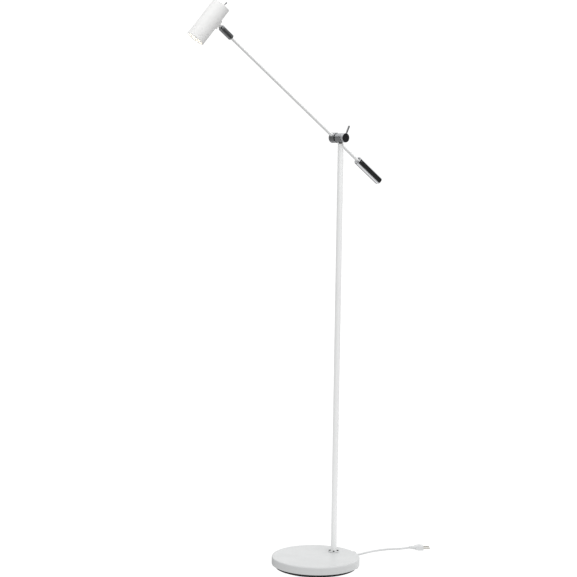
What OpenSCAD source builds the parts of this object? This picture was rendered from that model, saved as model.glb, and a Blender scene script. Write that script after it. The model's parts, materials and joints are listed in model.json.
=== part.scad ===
// Adjustable arm floor lamp: a weighted round base, an upright pole, a counterweighted arm that
// pans, tilts and is clamped at the top of the pole, and a small spot head that swivels and tilts.
// Millimetres. The origin is the centre of the base's underside, on the floor. The head is at the
// front (-Y), the pole stands behind the middle (+Y) and the clamp knob is on the right (+X).

/* [Base] */
// Outside diameter of the painted cover
base_d = 250; // [200:1:320]
// Height of the cover's rim
cover_h = 22; // [18:1:32]
// Sheet thickness of the cover
cover_wall = 1.2; // [0.8:0.1:2]
// Radius of the cover's rounded top edge
cover_edge_r = 4; // [2.5:0.5:7]
// Height of the cover's lower edge above the floor
cover_lift = 10; // [9:0.5:12]
// Ring gap between the cover's outside and the ballast plate
ballast_inset = 10; // [10:0.5:20]
// Top of the ballast plate above the floor
ballast_top = 10.5; // [8:0.5:10.5]
// Thickness of the felt pad
felt_t = 1.5; // [1:0.5:3]

/* [Pole] */
// Outside diameter of the pole
pole_d = 16; // [16:0.5:20]
// Wall of the pole
pole_wall = 1.25; // [1:0.05:1.5]
// Length of the pole tube
pole_len = 1165; // [700:1:1400]
// Distance of the pole behind the base's middle
pole_back = 72; // [60:1:80]
// Width of the flange around the pole's foot
flange_land = 7; // [7:0.5:12]
// Thickness of the flange
flange_t = 3; // [2:0.5:5]
// Distance of the flange screws from the pole's surface
flange_screw_off = 3.5; // [3.5:0.25:4]

/* [Pan and tilt joint] */
// Height of the tilt axis above the pole's end
neck_h = 18; // [18:0.5:30]
// Diameter of the neck between the pole and the drum
neck_d = 11.5; // [11:0.5:15]
// Diameter of the drum on the pole
drum_d = 25; // [20:0.5:26]
// Length of the drum
drum_len = 23; // [20:0.5:26]
// Diameter of the grooved hub that holds the arm
hub_d = 28.8; // [24:0.2:34]
// Length of the grooved hub
hub_len = 19.6; // [18:0.2:24]
// Diameter of the threaded stud that joins hub, drum and knob
stud_d = 8; // [6:0.5:9]
// Diameter of the clamp knob
knob_d = 26.5; // [20:0.5:32]
// Length of the clamp knob without its cap
knob_len = 8.2; // [6:0.2:12]
// Diameter of the clamp lever
lever_d = 5.5; // [3:0.5:6]
// Length of the clamp lever past the knob's rim
lever_len = 25; // [12:1:40]
// Lean of the clamp lever behind the vertical, in degrees
lever_lean = 27; // [-60:1:60]

/* [Arm] */
// Outside diameter of the arm tube
arm_d = 9; // [8:0.5:10]
// Wall of the arm tube
arm_wall = 1; // [0.8:0.1:1.2]
// Rise of the arm above the horizontal, in degrees
arm_rise = 33.4; // [-40:0.1:70]
// Distance from the hub's middle to the swivel barrel
arm_front = 466; // [250:1:700]
// Distance from the hub's middle to the counterweight
arm_back = 114; // [60:1:200]
// Diameter of the counterweight
weight_d = 23; // [18:0.5:28]
// Length of the counterweight
weight_len = 107; // [60:1:160]
// Diameter of the swivel barrel
barrel_d = 17; // [16:0.5:17]
// Length of the swivel barrel
barrel_len = 42; // [36:1:60]

/* [Head] */
// Outside diameter of the shade
shade_d = 50; // [44:1:70]
// Wall of the shade
shade_wall = 1; // [0.8:0.1:2]
// Length of the shade tube, without its cap
shade_len = 110; // [100:1:150]
// Distance from the shade's opening to the tilt pin
shade_hang = 69; // [62:1:72]
// Turn of the head about the arm, in degrees
head_turn = 17.5; // [-90:1:90]
// Lean of the head about its tilt pin, in degrees
head_lean = 0; // [-40:1:40]
// Length of the saddle on the shade
saddle_len = 25; // [24:0.5:36]
// Width of the saddle
saddle_w = 12; // [11:0.5:16]
// Thickness of the saddle above the shade
saddle_t = 4.5; // [4.5:0.5:5]
// Length of the switch lever
toggle_len = 12; // [6:0.5:14]
// Angle of the switch lever at rest, in degrees
toggle_lean = 10; // [0:1:12]

/* [Cord] */
// Diameter of the mains cord
cord_d = 5.7; // [5:0.1:6]
// Height of the cord's outlet above the floor
outlet_h = 14; // [14:0.5:16]
// Length of the strain relief
relief_len = 24; // [20:1:40]

/* [Hidden] */
$fn = 64;
cut = 1; // how far a cutting shape runs past what it cuts
fit = 0.05; // radial clearance of a turning or pushed fit
face_gap = 0.1; // clearance between flat faces that turn against each other
clearance = 0.3; // clearance between curved parts that move past each other

// Base
base_r = base_d / 2;
cover_top = cover_lift + cover_h;
under_cover = cover_top - cover_wall;
ballast_r = base_r - ballast_inset;
felt_r = ballast_r - 4;
boss_r = 22;
lug_w = 12;
lug_h = 5;
lug_count = 3;
inner_lead_r = 2.2;
lead_bore_r = inner_lead_r + clearance;
lead_bend = 12; // radius of the lead's bend from the boss into the pole
slot_w = 2 * lead_bore_r + 1;
cord_r = cord_d / 2;
cord_bore_r = cord_r + fit;
trough_r = cord_r + 1;

// Flange and its screws
pole_r = pole_d / 2;
pole_bore_r = pole_r - pole_wall;
foot_z = cover_top + flange_t;
flange_d = pole_d + 2 * flange_land;
flange_pcd = pole_d + 2 * flange_screw_off;
pole_top = foot_z + pole_len;
spigot_h = 25;
screw_r = 1.5;
screw_head_r = 2.7;
screw_head_h = 2;
screw_len = 18;

// Joint
joint_z = pole_top + neck_h;
bush_flange_t = 1.5;
bush_len = 30;
spindle_r = 4.5;
clip_t = 1.1;
clip_gap = 0.4;
clip_groove = 0.9;
clip_lip = 1.7; // how far a clip stands out of its groove's spindle
clip_z = pole_top - bush_len - clip_gap - clip_t;
spindle_end = clip_z - 3;
stud_r = stud_d / 2;
drum_left = -13;
drum_right = drum_left + drum_len;
washer_t = 1.1;
washer_r = 10;
hub_right = drum_left - 2 * washer_t - 2 * face_gap;
hub_left = hub_right - hub_len;
hub_r = hub_d / 2;
arm_x = hub_right - 10.3; // the arm's place along the hub
hub_groove_w = 1.4;
hub_groove_h = 0.9;
hub_groove_n = 5;
hub_cap_t = 1.6;
arm_r = arm_d / 2;
arm_bore_r = arm_r - arm_wall;
knob_left = drum_right + washer_t + face_gap;
knob_right = knob_left + knob_len;
knob_r = knob_d / 2;
knob_cap_t = 2;
knob_skin = 1.2; // metal left between the stud's hole and the cap
lever_r = lever_d / 2;
lever_root = 7; // where the lever starts, from the stud's axis
set_screw_r = 2;

// Arm
tube_into_weight = 38;
weight_bore = 40;
weight_edge = 0.8;
spindle2_r = 4; // the swivel spindle at the arm's end
spindle2_bore_r = inner_lead_r + 0.1;
tube_into_barrel = 3;
spindle2_in_tube = 22;
barrel_r = barrel_d / 2;
barrel_end = arm_front + barrel_len;
barrel_room_r = 6.5;
barrel_room_len = 17;
spindle2_end = barrel_end - 8.5;
nose_plug_len = 6.5;
nose_r = 5;
nose_len = 5;
nose_edge = 0.6;
pin_past_nose = 4.3;
pin_at = barrel_end + nose_len + pin_past_nose;
tongue_r = 3.4;
tongue_t = 5;
pin_r = 1.5;
lug_gap = 0.15;
lug_r = 3.8;

// Head
shade_r = shade_d / 2;
shade_in_r = shade_r - shade_wall;
shade_bed = 6.5; // from the tilt pin to the shade's surface
shade_off = shade_r + shade_bed;
saddle_top = -shade_bed + saddle_t;
saddle_slot = 13;
saddle_screw_z = saddle_len / 2 - 3.2;
saddle_screw_r = 1.4;
saddle_head_r = 1.9;
saddle_head_h = 0.8;
cap_z = shade_len - shade_hang; // the shade's rear edge, from the tilt pin
cap_t = 3;
cap_plug = 7;
cap_edge = 1.2;
cap_wall = 2;
toggle_off = 7; // the switch's place, from the shade's axis towards the arm
bush_r = 3;
bush_bore_r = 2;
bush_above = 4;
toggle_pivot = 1; // the lever's pivot above the cap
toggle_r = 0.85;
toggle_tip_r = 1.4;
nut_r = 4.6;
nut_t = 1.8;
reflector_t = 0.8;
reflector_lip = -27;
reflector_neck = 1;
reflector_neck_r = 11;
bulb_r = 6.5;
bulb_len = 34;
bulb_top = 8;
holder_r = 9.5;
holder_len = 17;
bracket_t = 1.2;
bracket_w = 14;
bracket_tab = 7;
bracket_z = bulb_top + holder_len;

// Cord: the routes' points are its middle line, from the clamp in the base to the plug
lead_in_route = [
    [0, 98, 14], [0, 112, 14], [0, 124, 14], [0, 138, 14], [0, 150, 14],
    [-2, 160, 12.5], [-8, 169, 10.3], [-17, 175, 8.9], [-28, 177, 7.2], [-40, 178, 5.4],
    [-54, 179, 3.9], [-66, 180, 3.5], [-77, 180, 3.5], [-85, 178, 3.5], [-92, 173.5, 3.5]
];
run_route = [
    [-56, 131, 8.9], [-46, 141.5, 7.8], [-36, 152, 5.8], [-26, 162, 3.9], [-17, 171, 2.9],
    [-10, 179, 2.9], [-6.5, 188, 2.9], [-7, 202, 2.9], [-8, 220, 2.9], [-7, 238, 2.9],
    [-4, 255, 2.9], [0, 274, 2.9], [7, 294, 2.9], [18, 314, 2.9], [28, 327, 3.4],
    [37, 338, 5], [45, 347.5, 7]
];
tube_sides = 10;
hank_at = [-115, 111];
hank_turn = 46;
hank_run = 91;
hank_lift = 0.6;
hank_half = 31.4; // half the hank's width
hank_h = 2 * cord_d;
tie_w = 6;
plug_turn = 50; // the plug's heading, in degrees from +X
plug_at = [45, 347.5, 7];
plug_neck = 16;
plug_len = 24;
plug_w = 25;
plug_h = 14;
prong_r = 2;
prong_len = 19;
prong_gap = 19;

// ---- shared shapes ----

// Half outline of a disc with a rounded top edge
module disc_outline(r, h, edge) {
    square([r - edge, h]);
    square([r, h - edge]);
    translate([r - edge, h - edge]) circle(r = edge);
}

// A disc with a rounded top edge
module soft_disc(r, h, edge) {
    rotate_extrude() intersection() {
        disc_outline(r, h, edge);
        square([r, h]);
    }
}

// A bar with both ends chamfered
module chamfered_bar(r, h, edge) {
    rotate_extrude() polygon([[0, 0], [r - edge, 0], [r, edge], [r, h - edge], [r - edge, h],
        [0, h]]);
}

module ring(r, bore_r, h) {
    difference() {
        cylinder(r = r, h = h);
        translate([0, 0, -cut]) cylinder(r = bore_r, h = h + 2 * cut);
    }
}

// Copies on a circle, the first at half a step from +X
module around(count, r) {
    for (i = [0 : count - 1])
        rotate(360 / count * (i + 0.5)) translate([r, 0, 0]) children();
}

// What is drawn along +Z lies along +X, +Y or -Y instead
module along_x() rotate([0, 90, 0]) children();
module along_y() rotate([-90, 0, 0]) children();
module along_front() rotate([90, 0, 0]) children();

// ---- swept tubes ----

function unit(v) = v / norm(v);
function heading(route, i) = unit(route[min(i + 1, len(route) - 1)] - route[max(i - 1, 0)]);
function beside(d) = unit(cross(abs(d[2]) > 0.9 ? [0, 1, 0] : [0, 0, 1], d));
function hoop(p, d, r, sides) = [
    for (k = [0 : sides - 1])
        let(a = 360 / sides * (k + 0.5), s = beside(d), t = cross(d, s))
        p + r * (cos(a) * s + sin(a) * t)
];

// A round tube along a route's points, closed at both ends
module sweep(route, r, sides = tube_sides) {
    last = (len(route) - 1) * sides;
    points = [for (i = [0 : len(route) - 1]) each hoop(route[i], heading(route, i), r, sides)];
    walls = [
        for (i = [0 : len(route) - 2], k = [0 : sides - 1])
            let(a = i * sides + k, b = i * sides + (k + 1) % sides)
            each [[a, b + sides, b], [a, a + sides, b + sides]]
    ];
    start = [for (k = [1 : sides - 2]) [0, k, k + 1]];
    end = [for (k = [1 : sides - 2]) [last, last + k + 1, last + k]];
    polyhedron(points, concat(walls, start, end));
}

// ---- frames of the moving groups ----

module at_pole() translate([0, pole_back, 0]) children();
module at_joint() translate([0, pole_back, joint_z]) children();

// The arm's own frame: the hub's middle is the origin and the arm runs along -Y
module in_arm() translate([arm_x, pole_back, joint_z]) rotate([-arm_rise, 0, 0]) children();

// Along the arm, from a distance in front of the hub
module on_arm(from) in_arm() translate([0, -from, 0]) along_front() children();

// The swivel's frame, with the tilt pin along X at the origin
module in_swivel() in_arm() rotate([0, head_turn, 0]) translate([0, -pin_at, 0]) children();

// The head's frame: the tilt pin at the origin, the shade's axis along Z, its opening at -Z
module in_head() in_swivel() rotate([-head_lean, 0, 0]) children();
module on_shade_axis(z) in_head() translate([0, -shade_off, z]) children();

// ---- base ----

module base_cover() color("white") difference() {
    translate([0, 0, cover_lift]) rotate_extrude() intersection() {
        difference() {
            disc_outline(base_r, cover_h, cover_edge_r);
            translate([0, -cut])
                disc_outline(base_r - cover_wall, cover_h - cover_wall + cut,
                    cover_edge_r - cover_wall);
        }
        square([base_r, cover_h]);
    }
    at_pole() translate([0, 0, cover_lift]) {
        cylinder(r = lead_bore_r + 1, h = cover_h + cut);
        around(4, flange_pcd / 2) cylinder(r = screw_r + clearance, h = cover_h + cut);
    }
    translate([0, base_r - cover_edge_r, outlet_h]) along_y() cylinder(r = cord_r + 1.5, h = 20);
    translate([-cord_r - 1.5, base_r - cover_edge_r, 0]) cube([cord_d + 3, 20, outlet_h]);
}

module ballast() color("black") difference() {
    union() {
        translate([0, 0, felt_t]) cylinder(r = ballast_r, h = ballast_top - felt_t);
        at_pole() translate([0, 0, felt_t]) cylinder(r = boss_r, h = under_cover - felt_t);
        for (i = [0 : lug_count - 1]) rotate(360 / lug_count * i - 90) intersection() {
            translate([ballast_r - 10, -lug_w / 2, ballast_top - 3])
                cube([base_r, lug_w, lug_h]);
            translate([0, 0, felt_t])
                cylinder(r = base_r - cover_wall - face_gap, h = under_cover);
        }
    }
    at_pole() {
        translate([0, 0, outlet_h - lead_bore_r]) {
            cylinder(r = lead_bore_r + 1, h = under_cover);
            translate([-slot_w / 2, 0, 0]) cube([slot_w, boss_r + cut, slot_w + lead_bend]);
        }
        around(4, flange_pcd / 2)
            translate([0, 0, foot_z - screw_len]) cylinder(r = screw_r, h = screw_len);
    }
    translate([0, pole_back + boss_r - 4, outlet_h]) along_y()
        cylinder(r = trough_r, h = base_r);
    at_clamp_screws() translate([0, 0, clamp_screw_z]) cylinder(r = screw_r, h = base_r);
}

module felt_pad() color("dimgray") cylinder(r = felt_r, h = felt_t);

// Cord clamp on the ballast, just inside the outlet
clamp_y = base_r - cover_wall - 20;
clamp_l = 8;
clamp_half_w = 13;
clamp_h = outlet_h + cord_r + 2 - ballast_top;
clamp_screw_x = 9;
clamp_screw_z = 4;
clamp_top = ballast_top + clamp_h;

module at_clamp_screws() {
    for (side = [-1, 1]) translate([side * clamp_screw_x, clamp_y + clamp_l / 2, 0]) children();
}

module cord_clamp() color("ivory") difference() {
    translate([-clamp_half_w, clamp_y, ballast_top]) cube([2 * clamp_half_w, clamp_l, clamp_h]);
    translate([0, clamp_y - cut, outlet_h]) along_y()
        cylinder(r = cord_bore_r, h = clamp_l + 2 * cut);
    at_clamp_screws() cylinder(r = screw_r + fit, h = clamp_top + cut);
}

module clamp_screws() color("silver") at_clamp_screws() {
    translate([0, 0, clamp_screw_z]) cylinder(r = screw_r, h = clamp_top - clamp_screw_z);
    translate([0, 0, clamp_top]) soft_disc(screw_head_r, screw_head_h, 1);
}

// Bush in the cover's notch, with the tapered strain relief outside it
relief_flange_r = 5.4;
relief_tip_r = 3.7;

module strain_relief() color("white") translate([0, base_r, outlet_h]) along_y() difference() {
    union() {
        translate([0, 0, -cover_wall - 2]) cylinder(r = cord_r + 1.4, h = cover_wall + 2 + cut);
        translate([0, 0, fit]) cylinder(r = relief_flange_r, h = 2);
        translate([0, 0, -cover_wall - 2 - clearance]) cylinder(r = cord_r + 2.4, h = 2);
        cylinder(r1 = relief_flange_r - 0.6, r2 = relief_tip_r, h = relief_len);
    }
    translate([0, 0, -10]) cylinder(r = cord_bore_r, h = relief_len + 20);
}

// The lead inside the lamp: from the clamp, through the boss and up the pole
inner_lead_route = let(y = pole_back, z = outlet_h, b = lead_bend) concat(
    [[0, 96, z], [0, y + b + 4, z]],
    [for (a = [0 : 18 : 90]) [0, y + b - b * sin(a), z + b - b * cos(a)]],
    [[0, y, z + b + 10], [0, y, joint_z - 10]]
);

module inner_lead() color("lightgray") sweep(inner_lead_route, inner_lead_r);

// ---- pole ----

module foot_flange() color("white") at_pole() difference() {
    union() {
        translate([0, 0, cover_top]) soft_disc(flange_d / 2, flange_t, 1);
        translate([0, 0, cover_top]) cylinder(r = pole_bore_r - fit, h = flange_t + spigot_h);
    }
    cylinder(r = lead_bore_r + 1, h = foot_z + spigot_h + cut);
    around(4, flange_pcd / 2) cylinder(r = screw_r + clearance, h = foot_z + cut);
}

module flange_screws() color("silver") at_pole() around(4, flange_pcd / 2) {
    translate([0, 0, foot_z]) soft_disc(screw_head_r, screw_head_h, 1);
    translate([0, 0, foot_z - screw_len]) cylinder(r = screw_r, h = screw_len);
}

module pole_tube() color("white") at_pole() translate([0, 0, foot_z])
    ring(pole_r, pole_bore_r, pole_len);

module pole_bush() color("gainsboro") at_pole() {
    translate([0, 0, pole_top]) ring(pole_r, spindle_r + fit, bush_flange_t);
    translate([0, 0, pole_top - bush_len]) ring(pole_bore_r - fit, spindle_r + fit, bush_len);
}

// ---- pan and tilt joint ----

module yoke() color("silver") difference() {
    union() {
        at_pole() translate([0, 0, pole_top + bush_flange_t + face_gap])
            cylinder(d = neck_d, h = neck_h - bush_flange_t - face_gap);
        at_pole() translate([0, 0, spindle_end])
            cylinder(r = spindle_r, h = joint_z - spindle_end);
        at_joint() translate([drum_left, 0, 0]) along_x()
            chamfered_bar(drum_d / 2, drum_len, 0.6);
    }
    at_joint() translate([drum_left - cut, 0, 0]) along_x()
        cylinder(r = stud_r + fit, h = drum_len + 2 * cut);
    at_pole() translate([0, 0, spindle_end - cut])
        cylinder(r = lead_bore_r, h = joint_z - spindle_end);
    at_pole() translate([0, 0, clip_z - fit])
        ring(spindle_r + cut, spindle_r - clip_groove, clip_t + 2 * fit);
}

module pan_clip() color("gray") at_pole() translate([0, 0, clip_z])
    ring(spindle_r + clip_lip, spindle_r - clip_groove, clip_t);

module friction_washer() color("saddlebrown") at_joint()
    translate([drum_left - washer_t, 0, 0]) along_x() ring(washer_r, stud_r + clearance, washer_t);

module spring_washer() color("gray") at_joint()
    translate([drum_left - face_gap - 2 * washer_t, 0, 0]) along_x()
    ring(washer_r - 1, stud_r + clearance, washer_t);

module knob_washer() color("gray") at_joint() translate([drum_right, 0, 0]) along_x()
    ring(washer_r - 0.5, stud_r + clearance, washer_t);

module arm_hub() color("silver") difference() {
    at_joint() translate([hub_left, 0, 0]) along_x() difference() {
        chamfered_bar(hub_r, hub_len, 0.8);
        for (i = [1 : hub_groove_n])
            translate([0, 0, hub_len * i / (hub_groove_n + 1) - hub_groove_w / 2])
            ring(hub_r + cut, hub_r - hub_groove_h, hub_groove_w);
    }
    on_arm(-hub_r - cut) cylinder(r = arm_r + fit, h = hub_d + 2 * cut);
    at_joint() translate([arm_x, 0, 0]) along_x() cylinder(r = stud_r, h = hub_len);
    in_arm() translate([0, 0, -hub_r - cut]) cylinder(r = set_screw_r, h = hub_r);
}

module hub_end_cap() color("silver") at_joint() translate([hub_left, 0, 0])
    rotate([0, -90, 0]) soft_disc(hub_r - 1.4, hub_cap_t, 1.2);

module hub_set_screw() color("gray") in_arm() translate([0, 0, 0.8 - hub_r])
    cylinder(r = set_screw_r, h = hub_r - 0.8 - arm_r);

module pivot_stud() color("silver") at_joint() difference() {
    translate([arm_x + arm_r + 2 * fit, 0, 0]) along_x()
        cylinder(r = stud_r, h = knob_right - knob_skin - face_gap - arm_x - arm_r - 2 * fit);
    translate([arm_x, 0, 0]) along_x() cylinder(r = stud_r / 2, h = drum_right - arm_x);
}

// ---- clamp knob ----

module clamp_knob() color("silver") at_joint() difference() {
    translate([knob_left, 0, 0]) along_x() chamfered_bar(knob_r, knob_len, 0.7);
    translate([knob_left - cut, 0, 0]) along_x()
        cylinder(r = stud_r + fit, h = knob_len - knob_skin + cut);
    at_lever() translate([0, 0, lever_root]) cylinder(r = lever_r, h = knob_r);
}

module knob_cap() color("black") at_joint() translate([knob_right, 0, 0]) along_x()
    soft_disc(knob_r - 0.4, knob_cap_t, 1);

module at_lever() translate([(knob_left + knob_right) / 2, 0, 0])
    rotate([-lever_lean, 0, 0]) children();

module clamp_lever() color("gray") at_joint() at_lever() translate([0, 0, lever_root])
    soft_disc(lever_r, knob_r - lever_root + lever_len, 1.6);

// ---- arm ----

module arm_tube() color("white") difference() {
    on_arm(-arm_back - tube_into_weight)
        ring(arm_r, arm_bore_r, arm_front + tube_into_barrel + arm_back + tube_into_weight);
    in_arm() along_x() cylinder(r = stud_r / 2, h = arm_d);
}

module arm_lead() color("lightgray") on_arm(0)
    cylinder(r = inner_lead_r, h = spindle2_end - 1);

module counterweight() color("silver") difference() {
    on_arm(-arm_back - weight_len) chamfered_bar(weight_d / 2, weight_len, weight_edge);
    on_arm(-arm_back - weight_bore) cylinder(r = arm_r + fit, h = weight_bore + cut);
    at_weight_screw() cylinder(r = set_screw_r, h = weight_d);
}

module at_weight_screw() in_arm() translate([0, arm_back + 12, -weight_d / 2 - cut]) children();

module counterweight_screw() color("gray") at_weight_screw() translate([0, 0, cut + 0.6])
    cylinder(r = set_screw_r, h = weight_d / 2 - 0.6 - arm_r);

module swivel_spindle() color("silver") difference() {
    union() {
        on_arm(arm_front + tube_into_barrel - spindle2_in_tube)
            cylinder(r = arm_bore_r, h = spindle2_in_tube);
        on_arm(arm_front + tube_into_barrel)
            cylinder(r = spindle2_r, h = spindle2_end - arm_front - tube_into_barrel);
    }
    on_arm(arm_front - spindle2_in_tube) cylinder(r = spindle2_bore_r, h = 2 * barrel_len);
    on_arm(clip2_at - fit) ring(spindle2_r + cut, spindle2_r - clip_groove, clip_t + 2 * fit);
}

clip2_at = barrel_end - barrel_room_len + clip_gap;

module swivel_clip() color("gray") on_arm(clip2_at)
    ring(spindle2_r + clip_lip, spindle2_r - clip_groove, clip_t);

// ---- swivel ----

module swivel_barrel() color("silver") difference() {
    on_arm(arm_front) chamfered_bar(barrel_r, barrel_len, 0.6);
    on_arm(arm_front - cut) cylinder(r = arm_r + clearance, h = tube_into_barrel + 1 + cut);
    on_arm(arm_front) cylinder(r = spindle2_r + fit, h = barrel_len);
    on_arm(barrel_end - barrel_room_len)
        cylinder(r = barrel_room_r, h = barrel_room_len + cut);
}

module swivel_nose() color("silver") difference() {
    union() {
        on_arm(barrel_end - nose_plug_len) cylinder(r = barrel_room_r - fit, h = nose_plug_len);
        on_arm(barrel_end - nose_plug_len)
            chamfered_bar(nose_r, nose_plug_len + nose_len, nose_edge);
        in_swivel() rotate([0, 90, 0]) translate([0, 0, -tongue_t / 2])
            cylinder(r = tongue_r, h = tongue_t);
        in_swivel() translate([-tongue_t / 2, 0, -tongue_r])
            cube([tongue_t, pin_past_nose + nose_edge + 1, 2 * tongue_r]);
    }
    in_swivel() translate([-tongue_t, 0, 0]) along_x() cylinder(r = pin_r + fit, h = 2 * tongue_t);
    on_arm(barrel_end - nose_plug_len - cut) cylinder(r = 2, h = nose_plug_len + 4);
}

// ---- head ----

module tilt_pin() color("silver") in_head() translate([-saddle_w / 2, 0, 0]) along_x()
    cylinder(r = pin_r, h = saddle_w);

module saddle() color("white") in_head() difference() {
    union() {
        translate([-saddle_w / 2, -shade_bed - 2, -saddle_len / 2])
            cube([saddle_w, saddle_t + 2, saddle_len]);
        for (side = [-1, 1])
            translate([side > 0 ? tongue_t / 2 + lug_gap : -saddle_w / 2, 0, 0]) {
                along_x() cylinder(r = lug_r, h = saddle_w / 2 - tongue_t / 2 - lug_gap);
                translate([0, -shade_bed, -lug_r])
                    cube([saddle_w / 2 - tongue_t / 2 - lug_gap, shade_bed, 2 * lug_r]);
            }
    }
    translate([0, -shade_off, -saddle_len]) cylinder(r = shade_r, h = 2 * saddle_len);
    translate([-tongue_t / 2 - lug_gap, -tongue_r - 0.6, -saddle_slot / 2])
        cube([tongue_t + 2 * lug_gap, 2 * shade_bed, saddle_slot]);
    translate([-saddle_w, 0, 0]) along_x() cylinder(r = pin_r, h = 2 * saddle_w);
    at_saddle_screws() cylinder(r = saddle_screw_r, h = 3 * saddle_t, center = true);
}

module at_saddle_screws() {
    for (side = [-1, 1]) translate([0, saddle_top, side * saddle_screw_z]) along_y() children();
}

module saddle_screws() color("dimgray") in_head() at_saddle_screws() {
    translate([0, 0, -saddle_t - shade_wall - 2])
        cylinder(r = saddle_screw_r, h = saddle_t + shade_wall + 2);
    soft_disc(saddle_head_r, saddle_head_h, 0.5);
}

module shade_tube() color("white") difference() {
    on_shade_axis(-shade_hang) ring(shade_r, shade_in_r, shade_len);
    in_head() at_saddle_screws() translate([0, 0, -3 * saddle_t])
        cylinder(r = saddle_screw_r, h = 4 * saddle_t);
    in_head() translate([0, -shade_bed - 3 * shade_wall, 0]) along_y()
        cylinder(r = lead_bore_r, h = 6 * shade_wall);
}

module rear_cap() color("white") difference() {
    union() {
        on_shade_axis(cap_z) soft_disc(shade_r, cap_t, cap_edge);
        on_shade_axis(cap_z - cap_plug) cylinder(r = shade_in_r - fit, h = cap_plug + cut);
    }
    on_shade_axis(cap_z - cap_plug - cut)
        cylinder(r = shade_in_r - cap_wall, h = cap_plug + cut);
    at_switch() cylinder(r = bush_r, h = 4 * cap_t, center = true);
}

// The switch's axis, with Z = 0 on the cap's outer face
module at_switch() on_shade_axis(cap_z + cap_t) translate([0, toggle_off, 0]) children();

switch_body_h = 13;

module switch_body() color("black") at_switch() difference() {
    union() {
        translate([-6.5, -4, -cap_t - switch_body_h]) cube([13, 8, switch_body_h]);
        translate([0, 0, -cap_t - cut]) cylinder(r = bush_r, h = cap_t + cut + bush_above);
    }
    translate([0, 0, toggle_pivot - bush_bore_r - 0.5])
        cylinder(r = bush_bore_r, h = bush_above + cut + bush_bore_r);
}

module switch_nut() color("silver") at_switch() difference() {
    cylinder(r = nut_r, h = nut_t, $fn = 6);
    translate([0, 0, -cut]) cylinder(r = bush_r, h = nut_t + 2 * cut);
}

module switch_lever() color("gray") at_switch() translate([0, 0, toggle_pivot])
    rotate([0, toggle_lean, 0]) {
        sphere(r = 1.3);
        cylinder(r1 = toggle_r, r2 = toggle_tip_r, h = toggle_len);
        translate([0, 0, toggle_len]) sphere(r = toggle_tip_r);
    }

// Spun bowl: a ring of cones from the neck to the lip
module reflector() color("gainsboro") on_shade_axis(0) rotate_extrude() polygon(concat(
    [for (a = [0 : 10 : 90]) reflector_point(a, 0)],
    [for (a = [90 : -10 : 0]) reflector_point(a, reflector_t)]
));

function reflector_point(a, t) = [
    reflector_neck_r + (shade_in_r - 0.4 - reflector_t - reflector_neck_r) * sin(a) + t,
    reflector_neck + (reflector_lip - reflector_neck) * (1 - cos(a)) + t * cos(a)
];

module lamp_bulb() color("lightyellow") on_shade_axis(bulb_top - bulb_len) {
    translate([0, 0, bulb_r]) cylinder(r = bulb_r, h = bulb_len - bulb_r);
    intersection() {
        translate([0, 0, bulb_r]) sphere(r = bulb_r);
        cylinder(r = bulb_r + cut, h = bulb_r);
    }
}

module lamp_contacts() color("silver") for (side = [-1, 1]) on_shade_axis(bulb_top)
    translate([side * 4.5, 0, 0]) cylinder(r = 0.5, h = 8);

module lamp_holder() color("ivory") difference() {
    on_shade_axis(bulb_top) chamfered_bar(holder_r, holder_len, 1);
    for (side = [-1, 1]) on_shade_axis(bulb_top - cut) translate([side * 4.5, 0, 0])
        cylinder(r = 0.5, h = 9 + cut);
    at_holder_screws() translate([0, 0, -6]) cylinder(r = 1.2, h = 6 + cut);
}

module at_holder_screws() {
    for (side = [-1, 1]) on_shade_axis(bracket_z) translate([0, side * 5.5, 0]) children();
}

module holder_bracket() color("silver") difference() {
    on_shade_axis(bracket_z) intersection() {
        union() {
            cylinder(r = shade_in_r - fit, h = bracket_t);
            ring(shade_in_r - fit, shade_in_r - bracket_t, bracket_tab);
        }
        translate([-shade_r, -bracket_w / 2, 0]) cube([shade_d, bracket_w, bracket_tab]);
    }
    at_holder_screws() cylinder(r = 1.2, h = 3 * bracket_t, center = true);
}

module holder_screws() color("silver") at_holder_screws() {
    translate([0, 0, bracket_t]) soft_disc(2.2, 1.4, 0.6);
    translate([0, 0, -6]) cylinder(r = 1.2, h = 6 + bracket_t);
}

// Two leads from the saddle's hole, round the bracket, up to the switch and down to the holder
lead_wall = shade_r - shade_wall - 3; // the leads' place inside the shade's wall
head_lead_routes = [
    [[2, lead_wall, 0], [4, lead_wall, 8], [9, lead_wall - 2, 18], [10, lead_wall - 3, 26],
        [8, 14, 29]],
    [[-2, lead_wall, 0], [-4, lead_wall, 8], [-9, lead_wall - 2, 16], [-11, lead_wall - 4, 22],
        [-11, 13, 24], [-10, 9, 20]]
];

module head_leads() color("ivory") for (route = head_lead_routes)
    on_shade_axis(0) sweep(route, 1.1, 8);

// ---- cord ----

module cord_lead_in() color("whitesmoke") sweep(lead_in_route, cord_r);
module cord_run() color("whitesmoke") sweep(run_route, cord_r);

module at_hank() translate([hank_at[0], hank_at[1], 0]) rotate(hank_turn) children();

module hank_outline(grow) {
    square([hank_run, 2 * (hank_half + grow)], center = true);
    for (side = [-1, 1]) translate([side * hank_run / 2, 0]) circle(r = hank_half + grow);
}

module cord_hank() color("whitesmoke") at_hank() translate([0, 0, hank_lift])
    linear_extrude(hank_h) hank_outline(0);

module cord_tie() color("white") at_hank() difference() {
    translate([-tie_w / 2, -hank_half - hank_lift, 0])
        cube([tie_w, 2 * (hank_half + hank_lift), hank_h + 2 * hank_lift]);
    translate([-tie_w, -hank_half, hank_lift]) cube([2 * tie_w, 2 * hank_half, hank_h]);
}

module at_plug() translate(plug_at) rotate(plug_turn) along_x() children();

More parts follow.
